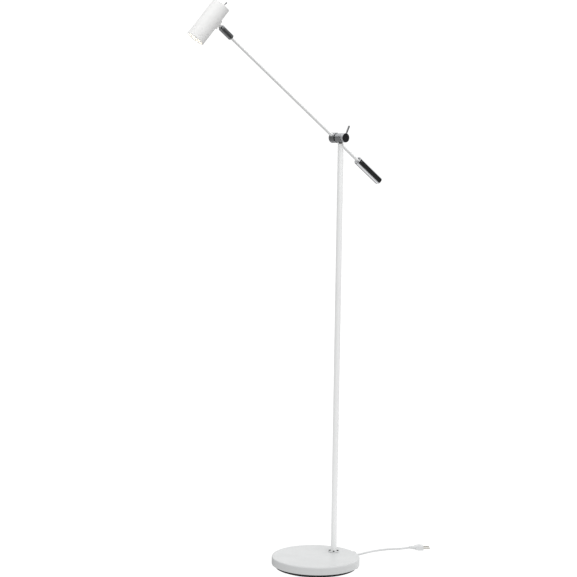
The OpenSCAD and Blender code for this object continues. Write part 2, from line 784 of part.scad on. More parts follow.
module plug_body() color("white") at_plug() difference() {
    union() {
        cylinder(r1 = 3.8, r2 = 6, h = plug_neck + 1);
        translate([-plug_h / 2, -plug_w / 2, plug_neck]) cube([plug_h, plug_w, plug_len]);
    }
    translate([0, 0, -cut]) cylinder(r = cord_bore_r, h = plug_neck);
    at_prongs() translate([0, 0, -8]) cylinder(r = prong_r, h = 10);
}

module at_prongs() {
    for (side = [-1, 1]) translate([0, side * prong_gap / 2, plug_neck + plug_len]) children();
}

module plug_pins() color("silver") at_plug() at_prongs() translate([0, 0, -8])
    soft_disc(prong_r, prong_len + 8, 1);

base_cover();
ballast();
felt_pad();
foot_flange();
flange_screws();
pole_tube();
pole_bush();
inner_lead();
cord_clamp();
clamp_screws();
strain_relief();
cord_lead_in();
cord_hank();
cord_tie();
cord_run();
plug_body();
plug_pins();
yoke();
pan_clip();
friction_washer();
spring_washer();
knob_washer();
arm_hub();
hub_end_cap();
hub_set_screw();
pivot_stud();
arm_tube();
arm_lead();
counterweight();
counterweight_screw();
swivel_spindle();
swivel_clip();
clamp_knob();
knob_cap();
clamp_lever();
swivel_barrel();
swivel_nose();
tilt_pin();
saddle();
saddle_screws();
shade_tube();
rear_cap();
reflector();
lamp_bulb();
lamp_contacts();
lamp_holder();
holder_bracket();
holder_screws();
head_leads();
switch_body();
switch_nut();
switch_lever();
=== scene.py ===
"""Adjustable arm floor lamp: the lamp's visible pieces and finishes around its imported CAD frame."""

import json
import math

import bmesh
import bpy
from bpy.props import FloatProperty, FloatVectorProperty, IntProperty, PointerProperty
from mathutils import Matrix, Vector


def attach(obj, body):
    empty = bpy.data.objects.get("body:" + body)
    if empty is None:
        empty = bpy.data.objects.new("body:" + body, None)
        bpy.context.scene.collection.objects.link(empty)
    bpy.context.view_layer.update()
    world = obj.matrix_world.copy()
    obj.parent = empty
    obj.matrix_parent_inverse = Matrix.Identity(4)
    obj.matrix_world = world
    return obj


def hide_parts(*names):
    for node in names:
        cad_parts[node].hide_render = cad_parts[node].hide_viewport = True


bl_info = {
    "name": "Adjustable Arm Floor Lamp",
    "version": (1, 0, 0),
    "blender": (4, 5, 0),
    "location": "View3D > Sidebar > Floor Lamp",
    "description": "Makes the pieces and finishes of an adjustable arm floor lamp",
    "category": "Object",
}

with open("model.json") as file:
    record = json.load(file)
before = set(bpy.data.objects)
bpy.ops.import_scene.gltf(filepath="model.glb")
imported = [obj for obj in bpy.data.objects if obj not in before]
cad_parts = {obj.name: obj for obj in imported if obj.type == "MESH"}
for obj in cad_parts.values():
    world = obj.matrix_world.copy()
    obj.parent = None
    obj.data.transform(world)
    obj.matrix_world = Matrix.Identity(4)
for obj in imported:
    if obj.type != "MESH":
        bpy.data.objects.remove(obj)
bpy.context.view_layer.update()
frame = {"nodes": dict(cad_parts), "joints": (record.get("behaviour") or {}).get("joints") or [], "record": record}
MM = 0.001
JOINTS = {joint["name"]: joint for joint in frame["joints"]}


# ---- frames that the pieces are built in ----


def frame_at(origin, x_axis, y_axis):
    """The matrix of a frame with that origin and those first two axes."""
    x_axis, y_axis = Vector(x_axis).normalized(), Vector(y_axis).normalized()
    place = Matrix((x_axis, y_axis, x_axis.cross(y_axis))).transposed().to_4x4()
    place.translation = Vector(origin)
    return place


RIGHT = Vector((1, 0, 0))
TILT_AT = Vector(JOINTS["arm_tilt"]["pos_m"])
ARM_WAY = Vector(JOINTS["head_swivel"]["axis"]).normalized()
HUB_AT = Vector((JOINTS["head_swivel"]["pos_m"][0], TILT_AT.y, TILT_AT.z))
# Z runs along the arm to the head, from the hub's middle
ARM = frame_at(HUB_AT, RIGHT, ARM_WAY.cross(RIGHT))
# Z runs along the stud to the clamp knob, from the tilt axis above the pole
STUD = frame_at(TILT_AT, (0, 0, 1), (0, -1, 0))
# X runs along the tilt pin, Z to the shade's closed end
HEAD = frame_at(
    JOINTS["head_tilt"]["pos_m"], JOINTS["head_tilt"]["axis"], JOINTS["switch_toggle"]["axis"]
)
PIN_TO_SHADE = 31.5 * MM
SHADE = HEAD @ Matrix.Translation((0, -PIN_TO_SHADE, 0))
POLE = Matrix.Translation((0, TILT_AT.y, 0))
HERE = Matrix.Identity(4)


# ---- shader node groups ----


def node_group(name, inputs, outputs):
    """A new shader group with its input and output nodes; inputs are (name, type, default)."""
    group = bpy.data.node_groups.new(name, "ShaderNodeTree")
    for label, kind, default in inputs:
        socket = group.interface.new_socket(label, in_out="INPUT", socket_type=kind)
        socket.default_value = default
    for label, kind in outputs:
        group.interface.new_socket(label, in_out="OUTPUT", socket_type=kind)
    return group, group.nodes.new("NodeGroupInput"), group.nodes.new("NodeGroupOutput")


def add(tree, kind, **settings):
    """A new node with its settings."""
    node = tree.nodes.new(kind)
    for key, value in settings.items():
        setattr(node, key, value)
    return node


def feed(tree, node, socket, source):
    """Links a socket to a source, or sets its value where the source is a plain one."""
    if isinstance(source, bpy.types.NodeSocket):
        tree.links.new(source, node.inputs[socket])
    else:
        node.inputs[socket].default_value = source


def calc(tree, operation, first, second=0.0, third=0.0, clamp=False):
    """The output of a Math node."""
    node = add(tree, "ShaderNodeMath", operation=operation, use_clamp=clamp)
    for index, value in enumerate((first, second, third)):
        feed(tree, node, index, value)
    return node.outputs[0]


def spread(tree, value, low, high, to_low=0.0, to_high=1.0):
    """The output of a smooth Map Range node."""
    node = add(tree, "ShaderNodeMapRange", interpolation_type="SMOOTHSTEP")
    for index, source in enumerate((value, low, high, to_low, to_high)):
        feed(tree, node, index, source)
    return node.outputs[0]


def noise(tree, vector, scale, detail=3.0, rough=0.5):
    """The value of a noise texture."""
    node = add(tree, "ShaderNodeTexNoise")
    for socket, source in (
        ("Vector", vector), ("Scale", scale), ("Detail", detail), ("Roughness", rough)
    ):
        feed(tree, node, socket, source)
    return node.outputs["Fac"]


def mixed(tree, factor, first, second):
    """The colour output of a Mix node."""
    node = add(tree, "ShaderNodeMix", data_type="RGBA")
    for socket, source in ((0, factor), (6, first), (7, second)):
        feed(tree, node, socket, source)
    return node.outputs[2]


def split(tree, vector):
    """The X, Y and Z outputs of a vector."""
    node = add(tree, "ShaderNodeSeparateXYZ")
    feed(tree, node, 0, vector)
    return node.outputs


def vector_calc(tree, operation, *vectors):
    """The number that a Vector Math node gives."""
    node = add(tree, "ShaderNodeVectorMath", operation=operation)
    for index, vector in enumerate(vectors):
        feed(tree, node, index, vector)
    return node.outputs["Value"]


def by_ray(tree, lit, mirrored):
    """A brightness for soft light, another for reflections, and plain white for the camera."""
    path = add(tree, "ShaderNodeLightPath")
    level = lit
    for kind, brightness in (("Is Glossy Ray", mirrored), ("Is Camera Ray", SEEN_WHITE)):
        choice = add(tree, "ShaderNodeMix", data_type="FLOAT")
        for socket, source in ((0, path.outputs[kind]), (2, level), (3, brightness)):
            feed(tree, choice, socket, source)
        level = choice.outputs[0]
    return level


FLOAT, VECTOR = "NodeSocketFloat", "NodeSocketVector"
# A little above 1, so that the ground behind the lamp is clean white
SEEN_WHITE = 1.05


def sprayed_skin_group():
    """Sprayed paint or moulded plastic: a fine dimpled skin and a slow change of gloss."""
    group, given, out = node_group(
        "sprayed_skin",
        [
            ("Vector", VECTOR, (0, 0, 0)),
            ("Dimple Scale", FLOAT, 900.0),
            ("Gloss Scale", FLOAT, 12.0),
        ],
        [("Height", FLOAT), ("Gloss", FLOAT)],
    )
    fine = noise(group, given.outputs["Vector"], given.outputs["Dimple Scale"], 2.0, 0.45)
    wide = noise(group, given.outputs["Vector"], given.outputs["Gloss Scale"], 4.0, 0.6)
    slow = noise(
        group,
        given.outputs["Vector"],
        calc(group, "MULTIPLY", given.outputs["Dimple Scale"], 0.16),
        2.0,
    )
    feed(group, out, "Height", calc(group, "MULTIPLY_ADD", slow, 0.6, fine))
    feed(group, out, "Gloss", spread(group, wide, 0.35, 0.65))
    return group


def settled_dust_group():
    """Dust that has settled on faces that look up, and more of it near the floor."""
    group, given, out = node_group(
        "settled_dust",
        [("Vector", VECTOR, (0, 0, 0)), ("Amount", FLOAT, 0.2), ("Reach", FLOAT, 0.02)],
        [("Mask", FLOAT)],
    )
    coords = add(group, "ShaderNodeTexCoord")
    facing = spread(group, split(group, coords.outputs["Normal"])["Z"], 0.3, 0.95)
    height = split(group, given.outputs["Vector"])["Z"]
    low = spread(group, height, given.outputs["Reach"], 0.0)
    patch = spread(group, noise(group, given.outputs["Vector"], 38.0, 6.0, 0.65), 0.38, 0.72)
    both = calc(group, "MAXIMUM", facing, low)
    feed(
        group,
        out,
        "Mask",
        calc(group, "MULTIPLY", calc(group, "MULTIPLY", both, patch), given.outputs["Amount"]),
    )
    return group


def turning_marks_group():
    """Rings left by a lathe and a buffing wheel about the vector's Z axis, with faint finger smears."""
    group, given, out = node_group(
        "turning_marks",
        [("Vector", VECTOR, (0, 0, 0)), ("Rings", FLOAT, 1600.0), ("Smears", FLOAT, 40.0)],
        [("Height", FLOAT), ("Smear", FLOAT)],
    )
    parts = split(group, given.outputs["Vector"])
    flat = add(group, "ShaderNodeCombineXYZ")
    feed(group, flat, 0, parts["X"])
    feed(group, flat, 1, parts["Y"])
    line = add(group, "ShaderNodeCombineXYZ")
    feed(group, line, 0, vector_calc(group, "LENGTH", flat.outputs[0]))
    feed(group, line, 2, parts["Z"])
    rings = noise(group, line.outputs[0], given.outputs["Rings"], 2.0, 0.7)
    smear = noise(group, given.outputs["Vector"], given.outputs["Smears"], 5.0, 0.62)
    feed(group, out, "Height", rings)
    feed(group, out, "Smear", spread(group, smear, 0.42, 0.68))
    return group


def worn_edge_group():
    """Where an edge stands proud and is rubbed: a mask broken up by a fine grain."""
    group, given, out = node_group(
        "worn_edge",
        [
            ("Vector", VECTOR, (0, 0, 0)),
            ("Grain", FLOAT, 700.0),
            ("Start", FLOAT, 0.53),
            ("Full", FLOAT, 0.6),
        ],
        [("Mask", FLOAT)],
    )
    shape = add(group, "ShaderNodeNewGeometry")
    proud = spread(
        group, shape.outputs["Pointiness"], given.outputs["Start"], given.outputs["Full"]
    )
    grain = spread(
        group, noise(group, given.outputs["Vector"], given.outputs["Grain"], 4.0, 0.7), 0.45, 0.6
    )
    feed(group, out, "Mask", calc(group, "MULTIPLY", proud, grain))
    return group


GROUPS = {}


def placed_group(tree, name, **inputs):
    """Places a shared group, built the first time it is asked for, in a material."""
    if name not in GROUPS:
        GROUPS[name] = {
            "sprayed_skin": sprayed_skin_group,
            "settled_dust": settled_dust_group,
            "turning_marks": turning_marks_group,
            "worn_edge": worn_edge_group,
        }[name]()
    node = add(tree, "ShaderNodeGroup", node_tree=GROUPS[name])
    for key, value in inputs.items():
        feed(tree, node, key.replace("_", " "), value)
    return node.outputs


# ---- finishes ----


def finish(name, place=None, **constants):
    """A new material: its tree, its Principled shader and object coordinates in the frame place."""
    material = bpy.data.materials.new(name)
    material.use_nodes = True
    tree = material.node_tree
    shader = tree.nodes["Principled BSDF"]
    for socket, value in constants.items():
        shader.inputs[socket.replace("_", " ")].default_value = value
    where = add(tree, "ShaderNodeTexCoord").outputs["Object"]
    if place is not None:
        turn = place.inverted()
        mapping = add(tree, "ShaderNodeMapping", vector_type="POINT")
        mapping.inputs["Location"].default_value = turn.translation
        mapping.inputs["Rotation"].default_value = turn.to_euler("XYZ")
        feed(tree, mapping, "Vector", where)
        where = mapping.outputs[0]
    return material, tree, shader, where


def raise_skin(tree, shader, height, strength, depth):
    """Feeds a height to the shader's normal."""
    bump = add(tree, "ShaderNodeBump")
    feed(tree, bump, "Strength", strength)
    feed(tree, bump, "Distance", depth)
    feed(tree, bump, "Height", height)
    feed(tree, shader, "Normal", bump.outputs[0])


def rgb(colour):
    """A colour with its alpha."""
    return (*colour[:3], 1.0)


def painted(name, colour, gloss=(0.3, 0.4), dust=0.12, reach=0.02, dimple=900.0):
    """Sprayed and baked paint, with dust on what looks up and rubbed edges."""
    material, tree, shader, where = finish(
        name, Coat_Weight=0.12, Coat_Roughness=0.22, Specular_IOR_Level=0.45
    )
    skin = placed_group(tree, "sprayed_skin", Vector=where, Dimple_Scale=dimple)
    dusty = placed_group(tree, "settled_dust", Vector=where, Amount=dust, Reach=reach)
    worn = placed_group(tree, "worn_edge", Vector=where)
    tone = mixed(tree, skin["Gloss"], rgb(colour), rgb([c * 0.985 for c in colour]))
    tone = mixed(tree, dusty["Mask"], tone, rgb([c * k for c, k in zip(colour, (0.8, 0.78, 0.74))]))
    rubbed = calc(tree, "MULTIPLY", worn["Mask"], 0.25)
    feed(tree, shader, "Base Color", mixed(tree, rubbed, tone, rgb([c * 0.82 for c in colour])))
    matt = calc(tree, "MULTIPLY_ADD", skin["Gloss"], gloss[1] - gloss[0], gloss[0])
    feed(tree, shader, "Roughness", calc(tree, "MULTIPLY_ADD", dusty["Mask"], 0.5, matt))
    raise_skin(tree, shader, skin["Height"], 0.12, 0.00012)
    return material


def polished(name, place, colour, gloss=(0.05, 0.16), rings=1600.0, smears=40.0, depth=0.08):
    """Turned and plated metal about the Z axis of place, with buffing rings and finger smears."""
    material, tree, shader, where = finish(name, place, Metallic=1.0)
    marks = placed_group(tree, "turning_marks", Vector=where, Rings=rings, Smears=smears)
    worn = placed_group(tree, "worn_edge", Vector=where, Start=0.5, Full=0.62)
    tone = mixed(tree, marks["Smear"], rgb(colour), rgb([c * 0.94 for c in colour]))
    feed(tree, shader, "Base Color", mixed(tree, worn["Mask"], tone, rgb(colour)))
    feed(
        tree,
        shader,
        "Roughness",
        calc(tree, "MULTIPLY_ADD", marks["Smear"], gloss[1] - gloss[0], gloss[0]),
    )
    raise_skin(tree, shader, marks["Height"], depth, 0.00004)
    return material


def moulded(name, colour, gloss=(0.4, 0.55), dimple=1400.0, depth=0.2, **constants):
    """Moulded plastic, nylon, ceramic or PVC with a fine skin."""
    material, tree, shader, where = finish(name, **constants)
    skin = placed_group(tree, "sprayed_skin", Vector=where, Dimple_Scale=dimple, Gloss_Scale=60.0)
    dusty = placed_group(tree, "settled_dust", Vector=where, Amount=0.12)
    tone = mixed(tree, skin["Gloss"], rgb(colour), rgb([c * 0.93 for c in colour]))
    feed(
        tree,
        shader,
        "Base Color",
        mixed(tree, dusty["Mask"], tone, rgb([0.5 * c + 0.2 for c in colour])),
    )
    feed(
        tree,
        shader,
        "Roughness",
        calc(tree, "MULTIPLY_ADD", skin["Gloss"], gloss[1] - gloss[0], gloss[0]),
    )
    raise_skin(tree, shader, skin["Height"], depth, 0.0001)
    return material


def felted(name, colour):
    """Pressed felt: short crossed fibres."""
    material, tree, shader, where = finish(name, Sheen_Weight=0.4, Sheen_Roughness=0.6)
    fibre = noise(tree, where, 1300.0, 8.0, 0.75)
    clump = noise(tree, where, 140.0, 3.0)
    tone = mixed(tree, fibre, rgb([c * 0.6 for c in colour]), rgb([c * 1.8 for c in colour]))
    feed(tree, shader, "Base Color", mixed(tree, spread(tree, clump, 0.4, 0.6), tone, rgb(colour)))
    feed(tree, shader, "Roughness", spread(tree, fibre, 0.2, 0.8, 0.85, 1.0))
    raise_skin(tree, shader, fibre, 0.6, 0.0004)
    return material


def cast(name, colour):
    """Cast iron under a black lacquer."""
    material, tree, shader, where = finish(name, Coat_Weight=0.3, Coat_Roughness=0.4)
    grit = noise(tree, where, 420.0, 6.0, 0.7)
    blotch = noise(tree, where, 45.0, 4.0, 0.6)
    feed(
        tree,
        shader,
        "Base Color",
        mixed(tree, spread(tree, blotch, 0.35, 0.7), rgb(colour), rgb([c * 2.0 for c in colour])),
    )
    feed(tree, shader, "Roughness", spread(tree, grit, 0.3, 0.7, 0.5, 0.75))
    raise_skin(tree, shader, grit, 0.35, 0.0006)
    return material


def glowing(name, colour, strength, where_bright):
    """A lit lamp envelope: brightest along its middle, which lies at Z = where_bright in the shade."""
    material, tree, shader, where = finish(name, SHADE, Roughness=0.35, Emission_Strength=strength)
    away = calc(tree, "ABSOLUTE", calc(tree, "SUBTRACT", split(tree, where)["Z"], where_bright))
    heart = spread(tree, away, 0.018, 0.0)
    frost = noise(tree, where, 900.0, 3.0)
    warm = mixed(tree, heart, rgb([c * k for c, k in zip(colour, (0.8, 0.66, 0.45))]), rgb(colour))
    feed(tree, shader, "Base Color", mixed(tree, frost, (0.9, 0.88, 0.82, 1), (1, 0.97, 0.92, 1)))
    feed(tree, shader, "Emission Color", warm)
    raise_skin(tree, shader, frost, 0.2, 0.0001)
    return material


def satin_painted_light(name, place, colour):
    """Bead-blasted and lacquered metal, paler than the polished one and partly diffuse, so that it reads brighter:
    painted light.
    """
    material = polished(name, place, colour, (0.34, 0.46))
    # Partly diffuse, so that dark reflections don't darken it: painted light on the knob's rim
    material.node_tree.nodes["Principled BSDF"].inputs["Metallic"].default_value = 0.68
    return material


def painted_glow_metal(name, place, colour, lamp_and_painted_glow):
    """Spun aluminium with a painted glow: a faint emission in the lamp's colour stands in for the light of the
    lamp inside it.
    """
    material = polished(name, place, colour, (0.36, 0.5), 900.0, 60.0, 0.1)
    shader = material.node_tree.nodes["Principled BSDF"]
    # Painted glow: the reflector emits light though it is no lamp
    shader.inputs["Emission Color"].default_value = rgb(lamp_and_painted_glow)
    shader.inputs["Emission Strength"].default_value = 1.5
    return material


def colour_property(name, description, default):
    """A colour that the user can change."""
    return FloatVectorProperty(
        name=name, description=description, subtype="COLOR", size=3, min=0, max=1, default=default
    )


class LampColours(bpy.types.PropertyGroup):
    """The colours of the lamp's finishes."""

    # Darker than the pole's and arm's white, though the lamp has one white paint: painted shade on the base
    paint: colour_property("Paint", "Colour of the painted base", (0.6, 0.61, 0.612))
    # Lighter than the base's and the shade's white, though the lamp has one white paint: painted light on the pole
    # and arm
    tubes_painted_light: colour_property("Tubes", "Colour of the painted pole and arm", (0.91, 0.915, 0.915))
    # A little darker than the pole's and arm's white, though the lamp has one white finish: painted shade on the
    # lamp's shade
    shade: colour_property("Shade", "Colour of the lacquered shade", (0.81, 0.81, 0.805))
    chrome: colour_property("Chrome", "Colour of the plated metal", (0.78, 0.79, 0.81))
    black: colour_property(
        "Black plastic", "Colour of the knob's face and the switch's body", (0.018, 0.018, 0.02)
    )
    cord: colour_property("Cord", "Colour of the mains cord and its plug", (0.66, 0.67, 0.675))
    # Also the colour of the reflector's painted glow
    lamp_and_painted_glow: colour_property("Glow", "Colour of the lit lamp", (1.0, 0.965, 0.88))


def make_finishes(colours):
    """Every finish of the lamp: one for each slot of the record, and some for single pieces."""
    chrome = tuple(colours.chrome)
    return {
        # Painted shade: the base and the other white_paint parts get a darker copy of the lamp's one white paint
        "white_paint": painted("white_paint", colours.paint, dust=0.07),
        # Painted light: the pole and arm get a lighter copy of the lamp's one white paint
        "tube_paint_painted_light": painted("tube_paint_painted_light", colours.tubes_painted_light, dust=0.05),
        # Painted shade: the lamp's shade gets a slightly darker copy of the lamp's one white finish
        "shade_white": painted("shade_white", colours.shade, (0.34, 0.42), dust=0.0, reach=-1.0),
        "black_iron": cast("black_iron", (0.012, 0.012, 0.013)),
        "felt": felted("felt", (0.03, 0.03, 0.033)),
        "chrome": polished("chrome_stud", STUD, [c * 0.94 for c in chrome], (0.1, 0.2)),
        "chrome_arm": polished("chrome_arm", ARM, chrome, (0.035, 0.12)),
        "chrome_shade": polished("chrome_shade", SHADE, chrome),
        "lever_chrome": polished("chrome_lever", STUD, [c * 0.72 for c in chrome], (0.26, 0.4)),
        # Painted light: a paler, partly diffuse copy of the chrome on the knob's rim
        "satin_knob_painted_light": satin_painted_light("satin_knob_painted_light", STUD, [c * 1.1 for c in chrome]),
        "satin_barrel": polished("satin_barrel", ARM, [c * 0.92 for c in chrome], (0.15, 0.24)),
        "steel": polished("zinc_steel", HERE, (0.5, 0.5, 0.51), (0.28, 0.42), 900.0, 120.0, 0.3),
        "dark_screw": polished("black_steel", HEAD, (0.06, 0.06, 0.06), (0.3, 0.5)),
        "nickel": polished("nickel", HERE, (0.68, 0.66, 0.6), (0.15, 0.28)),
        "black_plastic": moulded("black_plastic", colours.black, (0.36, 0.5)),
        "clear_nylon": moulded(
            "clear_nylon", (0.72, 0.71, 0.64), (0.35, 0.45), Subsurface_Weight=0.15
        ),
        "fibre": moulded("fibre", (0.05, 0.05, 0.05), (0.6, 0.75), 600.0, 0.4),
        "cord_white": moulded("cord_white", colours.cord, (0.38, 0.5), 1600.0),
        "tie_white": moulded("tie_white", (0.72, 0.72, 0.71), (0.6, 0.8), 2600.0, 0.7),
        "plug_white": moulded("plug_white", [c * 1.06 for c in colours.cord], (0.22, 0.34), 1600.0),
        # The reflector's finish carries a painted glow
        "reflector": painted_glow_metal("reflector", SHADE, (0.86, 0.85, 0.83), colours.lamp_and_painted_glow),
        "bulb_glass": glowing("lamp_glow", colours.lamp_and_painted_glow, 9.0, -0.012),
        "ceramic": moulded("ceramic", (0.72, 0.7, 0.64), (0.55, 0.7), 700.0, 0.4),
    }


FINISHES = {}
# The nodes whose finish isn't the one of their slot
FINISH_OF = {
    # The pole and arm take the lighter copy of the white paint: painted light
    "pole_tube": "tube_paint_painted_light",
    "arm_tube": "tube_paint_painted_light",
    "swivel_nose": "chrome_arm",
    "yoke": "chrome",
    "switch_nut": "chrome_shade",
}


def give(thing, finish_name):
    """Gives a piece or a CAD node one finish for all its faces."""
    slots = thing.material_slots
    if not slots:
        thing.data.materials.append(FINISHES[finish_name])
    for slot in slots:
        slot.material = FINISHES[finish_name]


# ---- settings ----


class StudioSettings(bpy.types.PropertyGroup):
    """The camera and the light."""

    azimuth: FloatProperty(
        name="Azimuth",
        description="The camera's place round the lamp",
        subtype="ANGLE",
        default=math.radians(45.70),
    )
    distance: FloatProperty(
        name="Distance",
        description="The camera's level distance from the base's middle",
        subtype="DISTANCE",
        default=4.273,
    )
    height: FloatProperty(
        name="Height",
        description="The camera's height above the floor",
        subtype="DISTANCE",
        default=1.172,
    )
    pitch: FloatProperty(
        name="Pitch",
        description="How far the camera looks down",
        subtype="ANGLE",
        default=math.radians(5.046),
    )
    yaw: FloatProperty(
        name="Yaw",
        description="How far the camera aims beside the base's middle",
        subtype="ANGLE",
        default=math.radians(-1.18),
    )
    roll: FloatProperty(
        name="Roll", description="The camera's roll", subtype="ANGLE", default=math.radians(0.834)
    )
    lens: FloatProperty(name="Lens", description="Focal length on a 36 mm sensor", default=95.440555)
    fill: FloatProperty(
        name="Fill light", description="Brightness of the light from all round", default=0.84
    )
    bounce: FloatProperty(
        name="Floor bounce", description="Brightness of the light from the floor", default=0.92
    )
    key: FloatProperty(
        name="Key light", description="Power of the softbox above the lamp, in watts", default=20.0
    )


class CordSettings(bpy.types.PropertyGroup):
    """The mains cord."""

    diameter: FloatProperty(
        name="Diameter",
        description="Diameter of the cord",
        subtype="DISTANCE",
        unit="LENGTH",
        default=5.7 * MM,
    )
    length: FloatProperty(
        name="Length",
        description="Length from the base to the plug",
        subtype="DISTANCE",
        unit="LENGTH",
        default=2.0,
    )
    turns: IntProperty(
        name="Turns",
        description="Whole turns of the hank on each of its two layers",
        min=1,
        default=2,
    )


# ---- cord ----

# The middle line of the cord, in millimetres: out of the base and to the hank
LEAD_IN = (
    (0, 98, 14), (0, 112, 14), (0, 124, 14), (0, 138, 14), (0, 150, 14),
    (-2, 160, 12.5), (-8, 169, 10.3), (-17, 175, 8.9), (-28, 177, 7.2), (-40, 178, 5.4),
    (-54, 179, 3.9), (-66, 180, 3.5), (-77, 180, 3.5), (-85, 178, 3.5), (-92, 173.5, 3.5),
)
# From the hank to the plug
RUN = (
    (-56, 131, 8.9), (-46, 141.5, 7.8), (-36, 152, 5.8), (-26, 162, 3.9), (-17, 171, 2.9),
    (-10, 179, 2.9), (-6.5, 188, 2.9), (-7, 202, 2.9), (-8, 220, 2.9), (-7, 238, 2.9),
    (-4, 255, 2.9), (0, 274, 2.9), (7, 294, 2.9), (18, 314, 2.9), (28, 327, 3.4),
    (37, 338, 5), (45, 347.5, 7),
)
HANK = Matrix.Translation((-115, 111, 0)) @ Matrix.Rotation(math.radians(46), 4, "Z")
HANK_RUN, HANK_OUTER, HANK_INNER = 91.0, 28.5, 17.1
HANK_LOW, HANK_HIGH = 3.45, 9.15


def hank_line(turns):
    """The cord's middle line in the hank: inwards on the floor, up, and outwards on top."""
    lane_steps, arc_steps = 4, 8
    passes = 4 * turns + 2

    def state(done):
        """Distance from the hank's middle line, and height, after so many turns."""
        if done <= turns:
            return HANK_OUTER + (HANK_INNER - HANK_OUTER) * done / turns, HANK_LOW
        if done <= turns + 0.5:
            return HANK_INNER, HANK_LOW + (HANK_HIGH - HANK_LOW) * (done - turns) / 0.5
        share = min(1.0, (done - turns - 0.5) / turns)
        return HANK_INNER + (HANK_OUTER - HANK_INNER) * share, HANK_HIGH

    points = []
    for number in range(passes):
        side = 1 if number % 2 == 0 else -1
        for step in range(lane_steps):
            away, height = state((number + 0.5 * step / lane_steps) / 2)
            points.append((side * HANK_RUN * (0.5 - step / lane_steps), side * away, height))
        for step in range(arc_steps if number < passes - 1 else 0):
            share = step / arc_steps
            away, height = state((number + 0.5 + 0.5 * share) / 2)
            turn = math.pi * share
            across = -side * (HANK_RUN / 2 + away * math.sin(turn))
            points.append((across, side * away * math.cos(turn), height))
    points.append((HANK_RUN / 2, -HANK_OUTER, HANK_HIGH))
    return [tuple(HANK @ Vector(point)) for point in points]


# ---- building pieces ----


def lathe(profile, steps=96):
    """A bmesh turned about Z from (radius, height) points in millimetres, from one end to the other."""
    bm = bmesh.new()
    verts = [bm.verts.new((radius, 0, height)) for radius, height in profile]
    edges = [bm.edges.new(pair) for pair in zip(verts, verts[1:])]
    bmesh.ops.spin(
        bm,
        geom=verts + edges,
        cent=(0, 0, 0),
        axis=(0, 0, 1),
        dvec=(0, 0, 0),
        angle=2 * math.pi,
        steps=steps,
        use_merge=True,
    )
    bmesh.ops.remove_doubles(bm, verts=bm.verts, dist=1e-4)
    bmesh.ops.recalc_face_normals(bm, faces=bm.faces)
    return bm


def soften(bm, width, segments=3, corner=25.0):
    """Rounds every edge that turns by more than corner degrees."""
    sharp = [
        e for e in bm.edges if len(e.link_faces) == 2 and e.calc_face_angle(0) > math.radians(corner)
    ]
    bmesh.ops.bevel(
        bm,
        geom=sharp,
        offset=width,
        offset_type="OFFSET",
        segments=segments,
        profile=0.5,
        affect="EDGES",
        clamp_overlap=True,
        material=-1,
    )
    return bm


def block(size, middle=(0, 0, 0)):
    """A bmesh box of that size about its middle, in millimetres."""
    bm = bmesh.new()
    bmesh.ops.create_cube(
        bm, size=1.0, matrix=Matrix.Translation(middle) @ Matrix.Diagonal((*size, 1))
    )
    return bm


def join(bm, *others, at=(HERE,)):
    """Adds copies of other bmeshes to one, each at every place given."""
    for other in others:
        for place in at:
            copy = other.copy()
            bmesh.ops.transform(copy, matrix=place, verts=copy.verts)
            spare = bpy.data.meshes.new("spare")
            copy.to_mesh(spare)
            bm.from_mesh(spare)
            bpy.data.meshes.remove(spare)
            copy.free()
    return bm


def knurl(bm, in_band, at_least, border, depth):
    """Presses every quad of a band in from its border, so that the band is grooved or pitted."""
    band = []
    for face in bm.faces:
        middle = face.calc_center_median()
        if len(face.verts) == 4 and in_band(middle.z) and middle.xy.length > at_least:
            band.append(face)
    bmesh.ops.inset_individual(bm, faces=band, thickness=border, depth=-depth, use_even_offset=True)


def mesh_of(name, bm):
    """Turns a bmesh into a mesh."""
    mesh = bpy.data.meshes.new(name)
    bm.to_mesh(mesh)
    bm.free()
    return mesh


def object_of(name, data):
    """A new object in the scene."""
    thing = bpy.data.objects.new(name, data)
    bpy.context.scene.collection.objects.link(thing)
    return thing


def piece(name, bm, place, body, finish_name, slot_name, *nodes):
    """Makes a bmesh in millimetres a finished piece at place, riding on a body, for its CAD nodes."""
    bmesh.ops.transform(bm, matrix=place @ Matrix.Scale(MM, 4), verts=bm.verts)
    mesh = mesh_of(name, bm)
    mesh.shade_smooth()
    mesh.set_sharp_from_angle(angle=math.radians(50))
    thing = object_of(name, mesh)
    weighted = thing.modifiers.new("weighted normals", "WEIGHTED_NORMAL")
    weighted.keep_sharp = True
    give(thing, finish_name)
    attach(thing, body)
    if nodes:
        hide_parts(*nodes)
    return thing


def around(count, radius, start=0.0):
    """Places evenly round Z at a radius in millimetres."""
    return [
        Matrix.Rotation(start + 2 * math.pi * i / count, 4, "Z") @ Matrix.Translation((radius, 0, 0))
        for i in range(count)
    ]


# ---- operators ----


class FLOORLAMP_OT_camera(bpy.types.Operator):
    """Place the camera"""

    bl_idname = "floorlamp.camera"
    bl_label = "Camera"

    def execute(self, context):
        studio = context.scene.lamp_studio
        az = studio.azimuth
        out = Vector((math.sin(az), -math.cos(az), 0))
        ahead = -out * math.cos(studio.pitch) - Vector((0, 0, math.sin(studio.pitch)))
        side = Vector((math.cos(az), math.sin(az), 0))
        ahead = (ahead * math.cos(studio.yaw) + side * math.sin(studio.yaw)).normalized()
        side = ahead.cross(Vector((0, 0, 1))).normalized()
        top = side.cross(ahead)
        c, s = math.cos(studio.roll), math.sin(studio.roll)
        data = bpy.data.cameras.new("camera")
        data.sensor_width = 36
        data.lens = studio.lens
        camera = object_of("camera", data)
        eye = out * studio.distance + Vector((0, 0, studio.height))
        camera.matrix_world = frame_at(eye, side * c + top * s, top * c - side * s)
        context.scene.camera = camera
        return {"FINISHED"}


